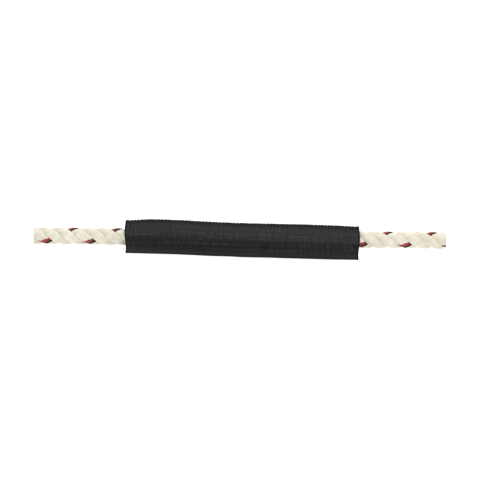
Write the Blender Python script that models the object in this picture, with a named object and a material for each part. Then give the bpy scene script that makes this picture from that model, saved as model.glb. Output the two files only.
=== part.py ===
"""Rope protector sleeve: a ribbed tube of woven textile, open at both ends, on a length of laid rope.

+X runs along the rope and +Z is up. The origin lies on the surface that the sleeve rests on,
under the middle of the sleeve. All lengths are in metres.
"""

import math

import bmesh
import bpy

# Rope
ROPE_DIAMETER = 0.016
ROPE_LENGTH = 0.386
ROPE_SHIFT = -0.0022  # from the sleeve's middle to the rope's middle
ROPE_POINT_STEP_DIAMETERS = 2.5
ROPE_SIDE_STEPS = 4

# Sleeve tube, whose bore follows the rope that it holds
SLEEVE_LENGTH = 0.2185
WALL = 0.0016
SIDE_ROOM = 0.0065  # on each side of the rope
HEAD_ROOM = 0.001  # over the rope
REST_GAP = 0.0003  # under the rope, which lies on the bore's floor
SECTION_POWER = 2.3  # 2 is an ellipse, and more is a fuller oval
SECTION_POINTS = 24
UNDERSIDE_FLAT_DEPTH = 0.0005  # how far the sleeve's weight flattens the oval

# Weft ribs round the tube, each a crest and a valley
RIB_PITCH = 0.0032
RIB_DEPTH = 0.0003

# Heat-cut ends, where the yarn has melted into a smooth rim
RIM_LENGTH = 0.0014
RIM_ROUNDING = 0.0004
END_DRAW_IN = 0.0008  # how much narrower each side is at the cut
DRAW_IN_LENGTH = 0.009

# Sizes that follow
ROPE_RADIUS = ROPE_DIAMETER / 2
ROPE_AXIS_HEIGHT = WALL + REST_GAP + ROPE_RADIUS
BORE_WIDTH = ROPE_DIAMETER + 2 * SIDE_ROOM
BORE_HEIGHT = REST_GAP + ROPE_DIAMETER + HEAD_ROOM
SLEEVE_WIDTH = BORE_WIDTH + 2 * WALL
SLEEVE_HEIGHT = BORE_HEIGHT + 2 * WALL


def clear_scene():
    for obj in list(bpy.data.objects):
        bpy.data.objects.remove(obj, do_unlink=True)


def material(name, colour, roughness, metallic=0.0):
    mat = bpy.data.materials.new(name)
    mat.use_nodes = True
    shader = mat.node_tree.nodes["Principled BSDF"]
    shader.inputs["Base Color"].default_value = (*colour, 1.0)
    shader.inputs["Roughness"].default_value = roughness
    shader.inputs["Metallic"].default_value = metallic
    return mat


def add_object(name, data, mat, location):
    obj = bpy.data.objects.new(name, data)
    obj.location = location
    data.materials.append(mat)
    bpy.context.scene.collection.objects.link(obj)
    return obj


def draw_in(x):
    """How far each side of the tube is drawn in at x, growing smoothly towards the nearer cut."""
    from_end = SLEEVE_LENGTH / 2 - abs(x)
    share = max(0.0, 1 - from_end / DRAW_IN_LENGTH)
    return END_DRAW_IN * share**2


def signed_power(value, power):
    return math.copysign(abs(value) ** power, value)


def section(x, inset, floor):
    """The oval at x, inset from the tube's outer surface and cut flat at the floor height.

    Its points are given from the rope's axis, which is where the sleeve's own origin is.
    """
    full_height = SLEEVE_HEIGHT + UNDERSIDE_FLAT_DEPTH
    middle = SLEEVE_HEIGHT - full_height / 2
    half_width = SLEEVE_WIDTH / 2 - inset - draw_in(x)
    half_height = full_height / 2 - inset
    points = []
    for i in range(SECTION_POINTS):
        angle = math.tau * i / SECTION_POINTS
        y = half_width * signed_power(math.cos(angle), 2 / SECTION_POWER)
        z = middle + half_height * signed_power(math.sin(angle), 2 / SECTION_POWER)
        points.append((x, y, max(z, floor) - ROPE_AXIS_HEIGHT))
    return points


def outer_stations():
    """(x, inset) from one cut to the other: a rounded rim, the ribs, and the other rim."""
    end = SLEEVE_LENGTH / 2
    ribbed = SLEEVE_LENGTH - 2 * RIM_LENGTH
    ribs = max(1, round(ribbed / RIB_PITCH))
    stations = [(-end, RIM_ROUNDING), (RIM_ROUNDING - end, 0.0)]
    for step in range(2 * ribs + 1):
        x = RIM_LENGTH - end + ribbed * step / (2 * ribs)
        crest = step % 2 == 1
        stations.append((x, 0.0 if crest else RIB_DEPTH))
    stations += [(end - RIM_ROUNDING, 0.0), (end, RIM_ROUNDING)]
    return stations


def bore_stations():
    """x from one cut to the other, close together only where the ends draw in."""
    end = SLEEVE_LENGTH / 2
    steps = (0, 1, 2, 3)
    left = [DRAW_IN_LENGTH * step / steps[-1] - end for step in steps]
    return left + [-x for x in reversed(left)]


def bridge(bm, ring_a, ring_b):
    """Quads between two rings of the same number of points."""
    count = len(ring_a)
    for i in range(count):
        j = (i + 1) % count
        bm.faces.new((ring_a[i], ring_a[j], ring_b[j], ring_b[i]))


def add_rings(bm, stations, floor):
    """One ring for each (x, inset), joined in order."""
    rings = [
        [bm.verts.new(point) for point in section(x, inset, floor)]
        for x, inset in stations
    ]
    for ring_a, ring_b in zip(rings, rings[1:]):
        bridge(bm, ring_a, ring_b)
    return rings


def sleeve_tube():
    bm = bmesh.new()
    outside = add_rings(bm, outer_stations(), floor=0.0)
    bore = add_rings(bm, [(x, WALL) for x in bore_stations()], floor=WALL)
    for outer_ring, bore_ring in ((outside[0], bore[0]), (outside[-1], bore[-1])):
        bridge(bm, outer_ring, bore_ring)
    bmesh.ops.recalc_face_normals(bm, faces=bm.faces)
    mesh = bpy.data.meshes.new("sleeve_tube")
    bm.to_mesh(mesh)
    bm.free()
    mesh.shade_smooth()
    mesh.set_sharp_from_angle(angle=math.radians(40))
    weave = material("black_woven_textile", (0.03, 0.03, 0.031), roughness=0.75)
    return add_object("sleeve_tube", mesh, weave, (0, 0, ROPE_AXIS_HEIGHT))


def rope():
    curve = bpy.data.curves.new("rope", "CURVE")
    curve.dimensions = "3D"
    curve.bevel_depth = ROPE_RADIUS
    curve.bevel_resolution = ROPE_SIDE_STEPS
    curve.use_fill_caps = True
    steps = math.ceil(ROPE_LENGTH / (ROPE_POINT_STEP_DIAMETERS * ROPE_DIAMETER))
    spline = curve.splines.new("POLY")
    spline.points.add(steps)
    for step, point in enumerate(spline.points):
        point.co = (ROPE_LENGTH * (step / steps - 0.5), 0, 0, 1)
    laid = material("cream_laid_rope", (0.8, 0.77, 0.6), roughness=0.8)
    return add_object("rope", curve, laid, (ROPE_SHIFT, 0, ROPE_AXIS_HEIGHT))


clear_scene()
sleeve_tube()
rope()
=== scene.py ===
"""Looks of the rope protector sleeve: a ribbed black woven tube on a cream three-strand rope.

The rope is three laid strands of twisted yarns, two of them tracer yarns. The sleeve is one
woven wall with its crosswise ribs, melted rims and bore. Lengths are in metres.
"""

import math

import bpy
import numpy as np
from mathutils import Matrix, Vector


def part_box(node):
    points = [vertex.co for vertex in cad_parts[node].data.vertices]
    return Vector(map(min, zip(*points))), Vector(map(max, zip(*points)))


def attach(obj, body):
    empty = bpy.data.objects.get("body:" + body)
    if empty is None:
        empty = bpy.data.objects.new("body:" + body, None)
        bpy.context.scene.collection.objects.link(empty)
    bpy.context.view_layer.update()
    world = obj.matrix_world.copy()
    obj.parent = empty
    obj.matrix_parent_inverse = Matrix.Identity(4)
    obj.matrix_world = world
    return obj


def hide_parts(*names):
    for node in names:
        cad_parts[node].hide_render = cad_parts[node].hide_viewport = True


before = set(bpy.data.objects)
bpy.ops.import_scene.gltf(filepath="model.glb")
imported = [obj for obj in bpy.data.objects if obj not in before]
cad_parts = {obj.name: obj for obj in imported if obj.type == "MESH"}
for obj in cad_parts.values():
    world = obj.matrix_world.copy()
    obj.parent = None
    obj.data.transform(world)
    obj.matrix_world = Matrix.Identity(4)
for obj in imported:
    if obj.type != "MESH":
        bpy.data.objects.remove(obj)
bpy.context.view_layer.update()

MM = 0.001

# What the frame says of the two solids
rope_low, rope_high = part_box("rope")
tube_low, tube_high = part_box("sleeve_tube")
ROPE_RADIUS = (rope_high.z - rope_low.z) / 2
ROPE_START, ROPE_END = rope_low.x, rope_high.x
ROPE_LENGTH = ROPE_END - ROPE_START
ROPE_AXIS_Z = (rope_high.z + rope_low.z) / 2
TUBE_START, TUBE_END = tube_low.x, tube_high.x
TUBE_LENGTH = TUBE_END - TUBE_START
TUBE_HALF_WIDTH = (tube_high.y - tube_low.y) / 2
TUBE_HEIGHT = tube_high.z
WALL = 1.6 * MM  # of the tube, which its box doesn't tell

# The photograph's frame: its scale at the rope's height, and where the sleeve's middle lies in it
PHOTO_PIXELS = 480
PIXEL = 0.941 * MM
SLEEVE_MIDDLE_PIXEL = (242.2, 238.1)
ROPE_TILT_IN_PHOTO = math.radians(0.708)
CAMERA_DISTANCE = 0.94


# Materials

# Noise on the UV map, in repeats per metre along the piece and round it
YARN_FIBRES, YARN_PATCHES = (500, 6500), (90, 260)
WEAVE_FIBRES, WEAVE_WEAR = (900, 5200), (520, 90)
WEAVE_STREAKS, WEAVE_LINT_AND_GLINT = (7, 330), (330, 900)
STREAK_OFFSET = 7.3  # which part of the noise gives the warp's streaks

# Cells and noise in the piece's own coordinates, in repeats per metre
CUT_CELLS, RIM_LUMPS = 2600.0, 900.0

# Depth of the fine relief that is left to the shading
YARN_BUMP, CUT_BUMP = 0.12 * MM, 0.1 * MM
WEAVE_BUMP, RIM_BUMP = 0.2 * MM, 0.2 * MM

# Each yarn's name, darkest and lightest colour, roughness, sheen and specular level
YARN_LOOKS = (
    ("cream_yarn", (0.67, 0.618, 0.456), (0.851, 0.826, 0.709), 0.75, 0.1, 0.5),
    ("red_tracer_yarn", (0.1, 0.006, 0.005), (0.42, 0.045, 0.038), 0.6, 0.05, 0.5),
    ("black_tracer_yarn", (0.006, 0.004, 0.003), (0.03, 0.016, 0.012), 0.7, 0.0, 0.15),
)
SHEEN_ROUGHNESS = 0.5

# Colour, roughness and specular level of the rope's cut, the weave, its rims and the floor
CUT_LOOK = (0.72, 0.66, 0.48), 0.8, 0.5
WEAVE_LOOK = (0.03, 0.03, 0.031), 0.62, 0.25
# The rims' near-black colour is partly painted shade of the cut edges
RIM_LOOK = (0.004, 0.004, 0.004), 0.6, 0.1
FLOOR_LOOK = (0.95, 0.95, 0.95), 0.9, 0.0

# What makes up a yarn's shade, and the shades at which it is darkest and lightest
YARN_FIBRE_SHARE, YARN_PATCH_SHARE = 0.5, 0.5
SEAM_SHADE_SHARE, SEAM_NARROWNESS = -0.1, 4.0  # of the painted shade line between two yarns
YARN_DARKEST, YARN_LIGHTEST = 0.32, 0.6

# Colours of the rope's cut, from the middle of a fibre end to its edge
CUT_STOPS = ((0.1, (0.92, 0.89, 0.77)), (0.75, (0.72, 0.67, 0.53)))

# What makes up the weave's shade and roughness, and the colours that its shades give
WEAVE_FIBRE_SHARE, WEAR_SHARE, STREAK_SHARE = 0.3, 0.35, 0.35
LINT_AND_GLINT_START, LINT_AND_GLINT_SHARE = 0.7, 4.0  # only the brightest spots of the noise are lint and painted glints
FOLD_SHADE_SHARE, FOLD_NARROWNESS = -0.25, 10.0  # painted shade along the tube's two folds, at its sides, and how narrow it is
OVER_HEIGHT = 0.2  # of a warp yarn over the rib, against the fibres' height
WEAVE_ROUGHNESS, STREAK_ROUGHENING, FOLD_ROUGHENING = 0.2, 0.25, 0.8
WEAVE_STOPS = (
    (0.41, (0.0006, 0.0006, 0.0006)),
    (0.5, (0.004, 0.004, 0.0048)),
    (0.6, (0.022, 0.022, 0.0232)),
    (1.0, (0.1, 0.1, 0.1)),
)
RIM_ROUGHNESS, LUMP_ROUGHENING = 0.45, 0.3

# Material slots of the rope and of the sleeve
CREAM, RED, BLACK, CUT = range(4)
WEAVE, MELTED = range(2)


def new_material(name, colour, roughness, specular):
    mat = bpy.data.materials.new(name)
    mat.use_nodes = True
    shader = mat.node_tree.nodes["Principled BSDF"]
    shader.inputs["Base Color"].default_value = (*colour, 1)
    shader.inputs["Roughness"].default_value = roughness
    shader.inputs["Specular IOR Level"].default_value = specular
    return mat, mat.node_tree, shader


def node(tree, kind, **inputs):
    made = tree.nodes.new(kind)
    for key, value in inputs.items():
        made.inputs[key].default_value = value
    return made


def link(tree, source, target):
    tree.links.new(source, target)


def maths(tree, operation, *values):
    made = node(tree, "ShaderNodeMath")
    made.operation = operation
    for socket, value in zip(made.inputs, values):
        if isinstance(value, (int, float)):
            socket.default_value = value
        else:
            link(tree, value, socket)
    return made.outputs[0]


def add_weighted(tree, start, *parts):
    """The start plus each part times its weight."""
    total = start
    for part, weight in parts:
        total = maths(tree, "MULTIPLY_ADD", part, weight, total)
    return total


def wave(tree, operation, place, half_length):
    """The sine or cosine of a place, whose half wave has the given length."""
    return maths(tree, operation, maths(tree, "MULTIPLY", place, math.pi / half_length))


def split_vector(tree, vector):
    split = node(tree, "ShaderNodeSeparateXYZ")
    link(tree, vector, split.inputs["Vector"])
    return split.outputs["X"], split.outputs["Y"], split.outputs["Z"]


def uv_place(tree):
    """The UV map, which is in metres: along the piece and round it."""
    along, round_it, _ = split_vector(tree, node(tree, "ShaderNodeUVMap").outputs["UV"])
    return along, round_it


def uv_noise(tree, repeats, detail, roughness=0.5, offset=0.0):
    uv = node(tree, "ShaderNodeUVMap")
    mapping = node(tree, "ShaderNodeMapping", Scale=(*repeats, 1), Location=(0, offset, 0))
    noise = node(tree, "ShaderNodeTexNoise", Scale=1.0, Detail=detail, Roughness=roughness)
    link(tree, uv.outputs["UV"], mapping.inputs["Vector"])
    link(tree, mapping.outputs["Vector"], noise.inputs["Vector"])
    return noise.outputs["Fac"]


def colour_ramp(tree, factor, stops):
    ramp = node(tree, "ShaderNodeValToRGB")
    elements = ramp.color_ramp.elements
    while len(elements) < len(stops):
        elements.new(0.5)
    for element, (place, colour) in zip(elements, stops):
        element.position = place
        element.color = (*colour, 1)
    link(tree, factor, ramp.inputs["Fac"])
    return ramp.outputs["Color"]


def bump(tree, height, distance):
    made = node(tree, "ShaderNodeBump", Strength=1.0, Distance=distance)
    link(tree, height, made.inputs["Height"])
    return made.outputs["Normal"]


def yarn_material(name, dark, light, roughness, sheen, specular):
    """Twisted filament yarn: fine fibres drawn out along it, with painted shade where it meets
    the next.
    """
    mat, tree, shader = new_material(name, light, roughness, specular)
    fibres = uv_noise(tree, YARN_FIBRES, detail=4.0, roughness=0.65)
    patches = uv_noise(tree, YARN_PATCHES, detail=2.0)
    _, round_it = uv_place(tree)
    # Painted shade along the line where two yarns meet
    crest = maths(tree, "ABSOLUTE", wave(tree, "COSINE", round_it, YARN_WIDTH))
    seam = maths(tree, "POWER", maths(tree, "SUBTRACT", 1.0, crest), SEAM_NARROWNESS)
    parts = (fibres, YARN_FIBRE_SHARE), (patches, YARN_PATCH_SHARE), (seam, SEAM_SHADE_SHARE)
    shade = add_weighted(tree, 0.0, *parts)
    colours = colour_ramp(tree, shade, ((YARN_DARKEST, dark), (YARN_LIGHTEST, light)))
    link(tree, colours, shader.inputs["Base Color"])
    link(tree, bump(tree, fibres, YARN_BUMP), shader.inputs["Normal"])
    shader.inputs["Sheen Weight"].default_value = sheen
    shader.inputs["Sheen Roughness"].default_value = SHEEN_ROUGHNESS
    return mat


def cut_end_material():
    """The rope's cut: fibre ends seen end on."""
    mat, tree, shader = new_material("rope_cut_fibres", *CUT_LOOK)
    place = node(tree, "ShaderNodeTexCoord")
    cells = node(tree, "ShaderNodeTexVoronoi", Scale=CUT_CELLS)
    link(tree, place.outputs["Object"], cells.inputs["Vector"])
    from_middle = cells.outputs["Distance"]
    link(tree, colour_ramp(tree, from_middle, CUT_STOPS), shader.inputs["Base Color"])
    link(tree, bump(tree, from_middle, -CUT_BUMP), shader.inputs["Normal"])
    return mat


def weave_material(girth):
    """Black filament weave: warp yarns across the ribs, fine fibres, wear, a little lint with
    painted glints, and painted shade along the folds.
    """
    mat, tree, shader = new_material("black_ribbed_weave", *WEAVE_LOOK)
    along, round_it = uv_place(tree)
    warp = wave(tree, "SINE", round_it, WARP_PITCH / 2)
    rib = wave(tree, "SINE", along, RIB_PITCH)
    over = maths(tree, "MULTIPLY", warp, rib)
    fibres = uv_noise(tree, WEAVE_FIBRES, detail=4.0, roughness=0.7)
    height = add_weighted(tree, fibres, (over, OVER_HEIGHT))
    link(tree, bump(tree, height, WEAVE_BUMP), shader.inputs["Normal"])

    worn = uv_noise(tree, WEAVE_WEAR, detail=3.0, roughness=0.6)
    streaks = uv_noise(tree, WEAVE_STREAKS, detail=2.0, roughness=0.6, offset=STREAK_OFFSET)
    # Light specks over the weave: partly lint, partly painted glints
    lint_and_glint = maths(tree, "SUBTRACT", uv_noise(tree, WEAVE_LINT_AND_GLINT, detail=1.0), LINT_AND_GLINT_START)
    lint_and_glint = maths(tree, "MAXIMUM", 0.0, lint_and_glint)
    # Painted shade along the tube's two folds, darkening the colour there; the same mask roughens
    # them
    fold = maths(tree, "ABSOLUTE", wave(tree, "COSINE", round_it, girth / 2))
    fold = maths(tree, "POWER", fold, FOLD_NARROWNESS)
    threads = (fibres, WEAVE_FIBRE_SHARE), (worn, WEAR_SHARE), (streaks, STREAK_SHARE)
    shade = add_weighted(tree, 0.0, *threads, (lint_and_glint, LINT_AND_GLINT_SHARE), (fold, FOLD_SHADE_SHARE))
    link(tree, colour_ramp(tree, shade, WEAVE_STOPS), shader.inputs["Base Color"])
    roughening = (streaks, STREAK_ROUGHENING), (fold, FOLD_ROUGHENING)
    link(tree, add_weighted(tree, WEAVE_ROUGHNESS, *roughening), shader.inputs["Roughness"])
    return mat


def melted_material():
    """The rims, where the hot cut has melted the yarn smooth and darker, the darkness partly
    painted shade of the cut edges.
    """
    mat, tree, shader = new_material("melted_rim_with_painted_shade", *RIM_LOOK)
    place = node(tree, "ShaderNodeTexCoord")
    lumps = node(tree, "ShaderNodeTexNoise", Scale=RIM_LUMPS, Detail=3.0)
    link(tree, place.outputs["Object"], lumps.inputs["Vector"])
    link(tree, bump(tree, lumps.outputs["Fac"], RIM_BUMP), shader.inputs["Normal"])
    rough = add_weighted(tree, RIM_ROUGHNESS, (lumps.outputs["Fac"], LUMP_ROUGHENING))
    link(tree, rough, shader.inputs["Roughness"])
    return mat


# Mesh building


def ring_faces(rows, columns, first):
    """Quads over rows of points, each row closed into a ring."""
    row = np.arange(rows - 1)[:, None]
    column = np.arange(columns)[None, :]
    after = (column + 1) % columns
    a = first + row * columns + column
    b = first + row * columns + after
    return np.stack([a, b, b + columns, a + columns], -1).reshape(-1, 4)


def signed_power(value, power):
    return np.sign(value) * np.abs(value) ** power


def add_object(name, data):
    obj = bpy.data.objects.new(name, data)
    bpy.context.scene.collection.objects.link(obj)
    return obj


def mesh_object(name, points, faces, uvs, slots, materials):
    mesh = bpy.data.meshes.new(name)
    mesh.from_pydata(points.tolist(), [], [[int(i) for i in face] for face in faces])
    for mat in materials:
        mesh.materials.append(mat)
    mesh.polygons.foreach_set("material_index", np.asarray(slots, np.int32))
    layer = mesh.uv_layers.new(name="UVMap")
    layer.data.foreach_set("uv", np.concatenate([part.reshape(-1) for part in uvs]))
    mesh.shade_smooth()
    mesh.update()
    return add_object(name, mesh)


# Rope

STRANDS = 3
STRAND_SHARE = 0.37  # a strand's radius, as a share of the rope's
STRAND_WIDENING = 1.46  # how much wider it is round the rope, where its neighbours flatten it
STRAND_SQUARENESS = 2.2  # 2 is an oval, and more has fuller flanks
STRAND_REACH = 1.8  # how much deeper it is towards the rope's heart, which the strands fill
STRAND_OVERLAP = 1.2  # how wide a sector it fills against its own third, the rest under the next
OVERLAP_START = 3 * MM  # from the rope's cut, where the strands only touch
VALLEY_SHARE = 0.895  # how far out the strands press together, as a share of the rope's radius
VALLEY_NICK_SHARE = 0.11  # how much lower it is on the line where they meet
VALLEY_NICK_POWER = 4  # more is a narrower nick
VALLEY_BLEND = 14  # more is a sharper turn from crest to valley
OUTER_ANGLE = math.radians(145)  # from a strand's crest, as far as its valleys are filled
LAY = 41.1 * MM
STRAND_ANGLE = math.radians(275.9)  # of the first strand, at the middle of the sleeve
HIDDEN_UNTWIST = math.radians(71.8)  # by which the lay is looser inside the sleeve
YARNS = 8
YARN_TURNS = 3  # of a yarn in its strand, against the lay, in one lay
YARN_ANGLE = math.radians(271.3)
HIDDEN_YARN_UNTWIST = math.radians(8)  # by which a strand's yarns are looser inside the sleeve
YARN_FULLNESS = 1.3  # over 1 the yarns press into each other
YARN_POINTS = 7
YARN_WIDTH = math.tau * ROPE_RADIUS * STRAND_SHARE / YARNS
RED_YARNS, TRACER_YARNS = 1.25, 2.15  # how many yarns' width is red, and how much with the black
STRAND_UV_SHIFT = 0.5  # along the UV map, so that no two strands have the same fibres
ROPE_STEP = 0.8 * MM


def strand_outline(strand_radius):
    """Radius round a strand at evenly spaced angles: the outline of its ring of yarns."""
    touching = strand_radius * math.sin(math.pi / YARNS) / (1 + math.sin(math.pi / YARNS))
    yarn = touching * YARN_FULLNESS
    ring = strand_radius - yarn
    angles = (np.arange(YARN_POINTS) / YARN_POINTS - 0.5) * math.tau / YARNS
    return ring * np.cos(angles) + np.sqrt(yarn**2 - (ring * np.sin(angles)) ** 2)


def wrapped(angle):
    """The same angle between -pi and pi."""
    return (angle + math.pi) % math.tau - math.pi


def pressed_strand(xs, psi, strand_radius):
    """Where a strand's points lie, out from the rope's axis and sideways round it.

    Each strand is pressed flat against its neighbours, and its valleys are filled up to where
    the strands part.
    """
    centre_radius = ROPE_RADIUS - strand_radius
    outline = np.tile(strand_outline(strand_radius), YARNS)
    outward = outline * signed_power(np.cos(psi), 2 / STRAND_SQUARENESS)
    outward = np.where(outward < 0, STRAND_REACH, 1) * outward
    sideways = outline * signed_power(np.sin(psi), 2 / STRAND_SQUARENESS) * STRAND_WIDENING

    from_end = np.minimum(xs - ROPE_START, ROPE_END - xs)
    overlap = 1 + (STRAND_OVERLAP - 1) * np.clip(from_end / OVERLAP_START, 0, 1)
    steep = np.tan(overlap * math.pi / STRANDS)[:, None]
    pressed = np.maximum((np.abs(sideways) - steep * outward) / (steep * centre_radius), 1)
    outward, sideways = centre_radius + outward / pressed, sideways / pressed

    far = np.hypot(outward, sideways)
    from_crest = np.abs(np.arctan2(sideways, outward)) / (math.pi / STRANDS)
    valley = ROPE_RADIUS * (VALLEY_SHARE - VALLEY_NICK_SHARE * from_crest**VALLEY_NICK_POWER)
    filled = (far**VALLEY_BLEND + valley**VALLEY_BLEND) ** (1 / VALLEY_BLEND)
    grow = np.where(np.abs(wrapped(psi)) < OUTER_ANGLE, filled / far, 1)
    return outward * grow, sideways * grow


def strand(index, xs):
    """Points of one strand as rows of rings, each ring in a plane across the rope."""
    strand_radius = ROPE_RADIUS * STRAND_SHARE
    hidden = np.clip(xs / TUBE_LENGTH, -0.5, 0.5)
    turn = math.tau * xs / LAY - HIDDEN_UNTWIST * hidden
    theta = (turn + STRAND_ANGLE + math.tau * index / STRANDS)[:, None]
    own = np.arange(YARNS * YARN_POINTS) / YARN_POINTS - 0.5 + 0.5 / YARN_POINTS
    own = own * math.tau / YARNS
    yarn_turn = YARN_TURNS * turn + HIDDEN_YARN_UNTWIST * hidden
    psi = (YARN_ANGLE - yarn_turn)[:, None] + own[None, :]
    outward, sideways = pressed_strand(xs, psi, strand_radius)
    y = outward * np.cos(theta) - sideways * np.sin(theta)
    z = outward * np.sin(theta) + sideways * np.cos(theta)
    x = np.broadcast_to(xs[:, None], y.shape)
    points = np.stack([x, y, z + ROPE_AXIS_Z], -1)
    along, round_it = xs + STRAND_UV_SHIFT * index, own * strand_radius
    uv = np.stack(np.broadcast_arrays(along[:, None], round_it[None, :]), -1)
    return points, uv


def build_rope():
    """Three strands, each with a flat cap at both of the rope's cuts."""
    steps = round(ROPE_LENGTH / ROPE_STEP)
    xs = np.linspace(ROPE_START, ROPE_END, steps + 1)
    count = YARNS * YARN_POINTS
    row = np.repeat(np.arange(steps), count)
    column = np.tile(np.arange(count), steps)
    yarn = (column + 0.5) / YARN_POINTS
    tracers = np.where(yarn < RED_YARNS, RED, np.where(yarn < TRACER_YARNS, BLACK, CREAM))
    points, faces, uvs, slots = [], [], [], []
    for index in range(STRANDS):
        place, uv = strand(index, xs)
        points.append(place.reshape(-1, 3))
        first = index * (steps + 1) * count
        faces.extend(ring_faces(steps + 1, count, first))
        long, wide = xs[1] - xs[0], uv[0, 1, 1] - uv[0, 0, 1]
        corners = np.array([(0, 0), (0, wide), (long, wide), (long, 0)])
        uvs.append(uv[row, column][:, None, :] + corners)
        slots.append(tracers if index == 0 else np.full(len(row), CREAM))
        cap = first + np.arange(count)
        faces.extend([cap, cap[::-1] + steps * count])
        uvs.append(np.zeros((2 * count, 2)))
        slots.append([CUT, CUT])
    materials = [yarn_material(*look) for look in YARN_LOOKS] + [cut_end_material()]
    return mesh_object(
        "rope_laid", np.concatenate(points), faces, uvs, np.concatenate(slots), materials
    )


# Sleeve

UPPER_POWER, LOWER_POWER = 3.0, 2.3  # 2 is an ellipse, and more is a fuller oval
FLAT_DEPTH = 0.5 * MM  # how far the sleeve's weight flattens the oval
ROOF_SLOPE = 0.26  # of the cloth's two sides, over the rope
ROOF_SOFTNESS_SHARE = 0.2
RIDGE_SHARE = -0.13  # where they meet, in half widths from the middle
RIB_PITCH = 3.2 * MM
RIB_DEPTH = 0.27 * MM
RIB_ROUNDNESS = 0.7  # 1 is a sine's crest, and less is a flatter one
RIB_UNEVENNESS = 0.7
EDGE_RIB_DEPTH = 0.9 * MM  # at the fold whose loops stand out
EDGE_ANGLE = math.radians(8)  # how far up the oval they stand out most
FOLD_REACH_POWER = 8  # more is a narrower strip along each fold
SMOOTHING = 0.6  # how much of the ribs' depth the other fold loses
WARP_PITCH = 0.9 * MM
RIM_LENGTH = 1.4 * MM
RIM_BEAD = 0.12 * MM
ROUND_POINTS = 168
POINTS_PER_RIB = 7
BORE_POINTS = 84
BORE_STEP = 2.5 * MM
GIRTH_POINTS = 4001

# Soft unevenness of the cloth: the seed of its draws, how many waves it has and the longest one
DENTS, DENT_DEPTH = (11, 9, 0.09), 0.2 * MM
SAGS, SAG_DEPTH = (5, 4, 0.12), 0.25 * MM
RIB_WANDER, RIB_WANDER_REACH = (21, 6, 0.05), 0.25 * MM
RIB_VARIATION = (31, 12, 0.02)
SHORTEST_WAVE_SHARE = 0.3
MOST_WAVE_TURNS = 2  # of a wave round the tube

# How the soft tube lies at shares of its half length: mm towards -Y, and mm of half width added
LIE_SHARES = (-1.0, -0.8, -0.62, -0.3, -0.15, 0.0, 0.25, 0.5, 0.75, 1.0)
LIE_ACROSS = (-0.05, -0.55, -0.45, 0.85, 1.35, 1.70, 2.00, 2.45, 2.85, 3.40)
LIE_WIDENING = (-0.48, 0.27, 0.37, 0.17, 0.07, 0.17, 0.17, 0.27, 0.17, -0.18)

# How many mm inside a square cut each end is, over the tube's top at shares of its half width
CUT_SHARES = (-1.0, -0.75, -0.4, -0.15, 0.1, 0.45, 0.7, 1.0)
CUT_BACK = (-0.2, 0.6, 0.6, 0.1, -0.3, -0.5, -0.3, -0.2)
CUT_REACH = 12 * MM


def smooth_through(shares, values, at):
    """A smooth curve through a few values, read at the given shares."""
    shares, values = np.asarray(shares), np.asarray(values)
    slopes = np.gradient(values, shares)
    i = np.clip(np.searchsorted(shares, at) - 1, 0, len(shares) - 2)
    span = shares[i + 1] - shares[i]
    t = (at - shares[i]) / span
    return (
        (2 * t**3 - 3 * t**2 + 1) * values[i]
        + (t**3 - 2 * t**2 + t) * span * slopes[i]
        + (3 * t**2 - 2 * t**3) * values[i + 1]
        + (t**3 - t**2) * span * slopes[i + 1]
    )


def waves(x, angle, seed, count, longest):
    """A sum of soft waves over the tube's surface, from -1 to 1."""
    rng = np.random.default_rng(seed)
    total = np.zeros(np.broadcast(x, angle).shape)
    for _ in range(count):
        length = longest * rng.uniform(SHORTEST_WAVE_SHARE, 1.0)
        turns = rng.integers(-MOST_WAVE_TURNS, MOST_WAVE_TURNS + 1)
        total += np.sin(math.tau * x / length + turns * angle + rng.uniform(0, math.tau)) / count
    return total


def section(angle, half_width, inset):
    """The soft oval round the rope: above a low roof, below a plain oval."""
    above = np.sin(angle) > 0
    power = np.where(above, 2 / UPPER_POWER, 2 / LOWER_POWER)
    y = (half_width - inset) * signed_power(np.cos(angle), power)
    share = y / half_width
    off_ridge = np.hypot(share - RIDGE_SHARE, ROOF_SOFTNESS_SHARE) - ROOF_SOFTNESS_SHARE
    half_height = (TUBE_HEIGHT + FLAT_DEPTH) / 2
    rise = half_height - inset - np.where(above, ROOF_SLOPE * half_width * off_ridge, 0)
    z = TUBE_HEIGHT - half_height + rise * signed_power(np.sin(angle), power)
    return y, z, share


def even_angles(count):
    """Angles at which the oval's points are the same distance apart, and the oval's girth."""
    fine = np.linspace(0, math.tau, GIRTH_POINTS)
    y, z, _ = section(fine, TUBE_HALF_WIDTH, 0.0)
    far = np.concatenate([[0.0], np.cumsum(np.hypot(np.diff(y), np.diff(z)))])
    return np.interp(np.arange(count) / count * far[-1], far, fine), far[-1]


def tube_surface(xs, angles, inset, relief=0.0):
    """Points of the soft tube at each x and angle, inset from its outer surface."""
    lie = xs / (TUBE_LENGTH / 2)
    across = smooth_through(LIE_SHARES, LIE_ACROSS, lie)[:, None] * MM
    half_width = TUBE_HALF_WIDTH + smooth_through(LIE_SHARES, LIE_WIDENING, lie)[:, None] * MM
    x, angle = xs[:, None], angles[None, :]
    dent = DENT_DEPTH * waves(x, angle, *DENTS)
    y, z, share = section(angle, half_width, inset - dent - relief)
    sag = SAG_DEPTH * waves(xs, 0.0, *SAGS)[:, None]
    z = np.maximum(z + sag * np.clip(np.sin(angle), 0, 1), inset)
    cut = np.where(np.sin(angle) > 0, smooth_through(CUT_SHARES, CUT_BACK, share), 0) * MM
    near_end = np.clip(1 - (TUBE_LENGTH / 2 - np.abs(x)) / CUT_REACH, 0, 1) ** 2
    x = x - np.sign(x) * cut * near_end
    return np.stack([x, y - across, z], -1)


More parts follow.
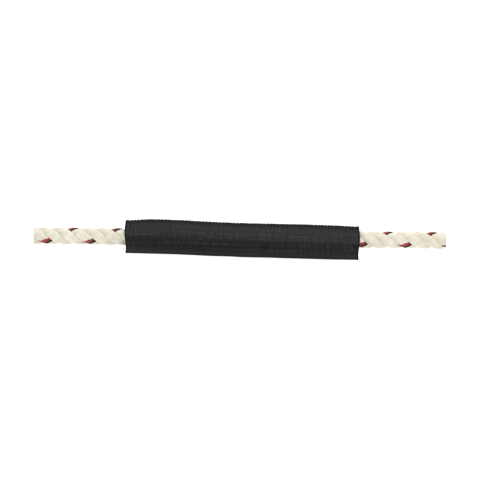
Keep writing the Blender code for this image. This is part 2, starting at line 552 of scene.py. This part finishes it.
def rib_relief(xs, angles):
    """Height of the weave under its crests: valleys that vary along and round the tube."""
    inside = np.clip((TUBE_LENGTH / 2 - RIM_LENGTH - np.abs(xs)) / RIM_LENGTH, 0, 1)
    x, angle = xs[:, None], angles[None, :]
    wander = RIB_WANDER_REACH * waves(x, angle, *RIB_WANDER)
    crest = np.abs(np.sin(math.pi * (x + wander) / RIB_PITCH)) ** RIB_ROUNDNESS
    uneven = 1 + RIB_UNEVENNESS * waves(x, angle, *RIB_VARIATION)
    edge = np.clip(np.cos(angle - EDGE_ANGLE), 0, 1) ** FOLD_REACH_POWER
    smooth = np.clip(-np.cos(angle), 0, 1) ** FOLD_REACH_POWER
    depth = RIB_DEPTH * (1 - SMOOTHING * smooth) + (EDGE_RIB_DEPTH - RIB_DEPTH) * edge
    return (crest - 1) * uneven * depth * inside[:, None]


def wall_faces(xs, columns, first, girth):
    """Quads over the wall's outer surface or its bore, with their UV corners and slots."""
    row = np.repeat(np.arange(len(xs) - 1), columns)
    column = np.tile(np.arange(columns), len(xs) - 1)
    u0, u1 = xs[row], xs[row + 1]
    v0, v1 = column / columns * girth, (column + 1) / columns * girth
    corners = [np.stack(corner, -1) for corner in ((u0, v0), (u0, v1), (u1, v1), (u1, v0))]
    rim = np.abs((u0 + u1) / 2) > TUBE_LENGTH / 2 - RIM_LENGTH
    slots = np.where(rim, MELTED, WEAVE)
    return ring_faces(len(xs), columns, first), np.stack(corners, 1), slots


def cut_faces(first_outer, first_bore):
    """Faces of one cut, between the ends of the outer surface and of the bore."""
    per = ROUND_POINTS // BORE_POINTS
    faces = []
    for i in range(BORE_POINTS):
        outer = [first_outer + (i * per + k) % ROUND_POINTS for k in range(per + 1)]
        faces.append(outer + [first_bore + (i + 1) % BORE_POINTS, first_bore + i])
    return faces


def build_sleeve():
    """The woven wall and its girth: ribbed outside, plain in the bore, melted at both cuts."""
    ribs = TUBE_LENGTH / RIB_PITCH
    xs = np.linspace(TUBE_START, TUBE_END, round(ribs * POINTS_PER_RIB) + 1)
    bore_xs = np.linspace(TUBE_START, TUBE_END, round(TUBE_LENGTH / BORE_STEP) + 1)
    angles, girth = even_angles(ROUND_POINTS)
    from_end = TUBE_LENGTH / 2 - np.abs(xs)
    bead = RIM_BEAD * np.clip(1 - from_end / RIM_LENGTH, 0, 1)
    outer = tube_surface(xs, angles, 0.0, rib_relief(xs, angles) + bead[:, None])
    bore = tube_surface(bore_xs, angles[:: ROUND_POINTS // BORE_POINTS], WALL)
    points = np.concatenate([outer.reshape(-1, 3), bore.reshape(-1, 3)])

    first_bore = len(xs) * ROUND_POINTS
    quads, corners, slots = wall_faces(xs, ROUND_POINTS, 0, girth)
    bore_quads, bore_corners, bore_slots = wall_faces(bore_xs, BORE_POINTS, first_bore, girth)
    left = [face[::-1] for face in cut_faces(0, first_bore)]
    right = cut_faces(first_bore - ROUND_POINTS, len(points) - BORE_POINTS)
    cut_corners = np.zeros((sum(len(face) for face in left + right), 2))
    sleeve = mesh_object(
        "sleeve_woven",
        points,
        [*quads, *bore_quads[:, ::-1], *left, *right],
        [corners, bore_corners[:, ::-1], cut_corners],
        np.concatenate([slots, bore_slots, np.full(len(left + right), MELTED)]),
        [weave_material(girth), melted_material()],
    )
    return sleeve, girth


# Stage, light and camera

FLOOR_REACH = 3.0
FLOOR_GLOW = 0.65  # that only the camera sees, so that the floor is plain white to it
SKY_LEVEL = 0.68
HORIZON_LEVEL, HORIZON_SKEW = 1.2, -1.4  # added to the sky's, and its change towards +Y
HORIZON_NARROWNESS = 9.0
KEY_PLACE, KEY_SIZE, KEY_WATTS = (0.1, 0.87, 0.78), (1.2, 0.4), 7.5
LOW_LAMP_PLACE, LOW_LAMP_SIZE = (0.3, -0.33, 0.07), (0.05, 0.05)
LOW_LAMP_WATTS = 0.006
LOW_LAMP_SPREAD = math.radians(20)  # narrow enough to light only the bare rope
SENSOR_WIDTH = 36.0
CLIP_END = 20


def build_stage():
    mesh = bpy.data.meshes.new("floor")
    signs = ((-1, -1), (1, -1), (1, 1), (-1, 1))
    corners = [(x * FLOOR_REACH, y * FLOOR_REACH, 0) for x, y in signs]
    mesh.from_pydata(corners, [], [(0, 1, 2, 3)])
    mat, tree, shader = new_material("white_floor", *FLOOR_LOOK)
    path = node(tree, "ShaderNodeLightPath")
    glow = maths(tree, "MULTIPLY", path.outputs["Is Camera Ray"], FLOOR_GLOW)
    link(tree, glow, shader.inputs["Emission Strength"])
    shader.inputs["Emission Color"].default_value = (1, 1, 1, 1)
    mesh.materials.append(mat)
    floor = add_object("floor", mesh)


def build_world():
    """A pale sky, brighter round the horizon and most of all at -Y, and plain white in view."""
    world = bpy.data.worlds.new("studio")
    bpy.context.scene.world = world
    world.use_nodes = True
    tree = world.node_tree
    background = tree.nodes["Background"]
    background.inputs["Color"].default_value = (1, 1, 1, 1)
    path = node(tree, "ShaderNodeLightPath")
    place = node(tree, "ShaderNodeTexCoord")
    _, y, z = split_vector(tree, place.outputs["Generated"])
    low = maths(tree, "SUBTRACT", 1.0, maths(tree, "ABSOLUTE", z))
    low = maths(tree, "POWER", low, HORIZON_NARROWNESS)
    horizon = add_weighted(tree, HORIZON_LEVEL, (y, HORIZON_SKEW))
    level = add_weighted(tree, SKY_LEVEL, (low, horizon))
    level = maths(tree, "MAXIMUM", path.outputs["Is Camera Ray"], level)
    link(tree, level, background.inputs["Strength"])


def area_light(name, place, target, size, watts, spread=math.pi):
    data = bpy.data.lights.new(name, "AREA")
    data.shape = "RECTANGLE"
    data.size, data.size_y = size
    data.energy = watts
    data.spread = spread
    light = add_object(name, data)
    light.location = place
    light.rotation_euler = (Vector(target) - Vector(place)).to_track_quat("-Z", "Y").to_euler()


def build_lamps():
    """One key lamp, and a weak low lamp for each bare part of the rope."""
    area_light("key", KEY_PLACE, (0, 0, 0), KEY_SIZE, KEY_WATTS)
    bare_middle = (TUBE_LENGTH + ROPE_LENGTH) / 4
    x, y, z = LOW_LAMP_PLACE
    for side, name in ((-1, "low_left"), (1, "low_right")):
        place, target = (side * x, y, z), (side * bare_middle, 0, ROPE_AXIS_Z)
        area_light(name, place, target, LOW_LAMP_SIZE, LOW_LAMP_WATTS, LOW_LAMP_SPREAD)


def build_camera():
    """Straight above, turned so that the rope tilts as it does in the photograph."""
    data = bpy.data.cameras.new("camera")
    data.sensor_width = SENSOR_WIDTH
    data.lens = SENSOR_WIDTH * CAMERA_DISTANCE / (PHOTO_PIXELS * PIXEL)
    data.clip_end = CLIP_END
    tilt = ROPE_TILT_IN_PHOTO
    right = Vector((math.cos(tilt), math.sin(tilt), 0))
    up = Vector((-math.sin(tilt), math.cos(tilt), 0))
    back = Vector((0, 0, 1))
    middle = PHOTO_PIXELS / 2
    off_right = (middle - SLEEVE_MIDDLE_PIXEL[0]) * PIXEL
    off_up = (SLEEVE_MIDDLE_PIXEL[1] - middle) * PIXEL
    place = right * off_right + up * off_up
    place.z = ROPE_AXIS_Z + CAMERA_DISTANCE
    camera = add_object("camera", data)
    turned = Matrix((right, up, back)).transposed().to_4x4()
    camera.matrix_world = Matrix.Translation(place) @ turned
    bpy.context.scene.camera = camera


bpy.context.scene.view_settings.view_transform = "Standard"

build_camera()
rope = build_rope()
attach(rope, "rope")
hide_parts("rope")

sleeve, girth = build_sleeve()
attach(sleeve, "sleeve")
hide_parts("sleeve_tube")

build_stage()
build_world()
build_lamps()
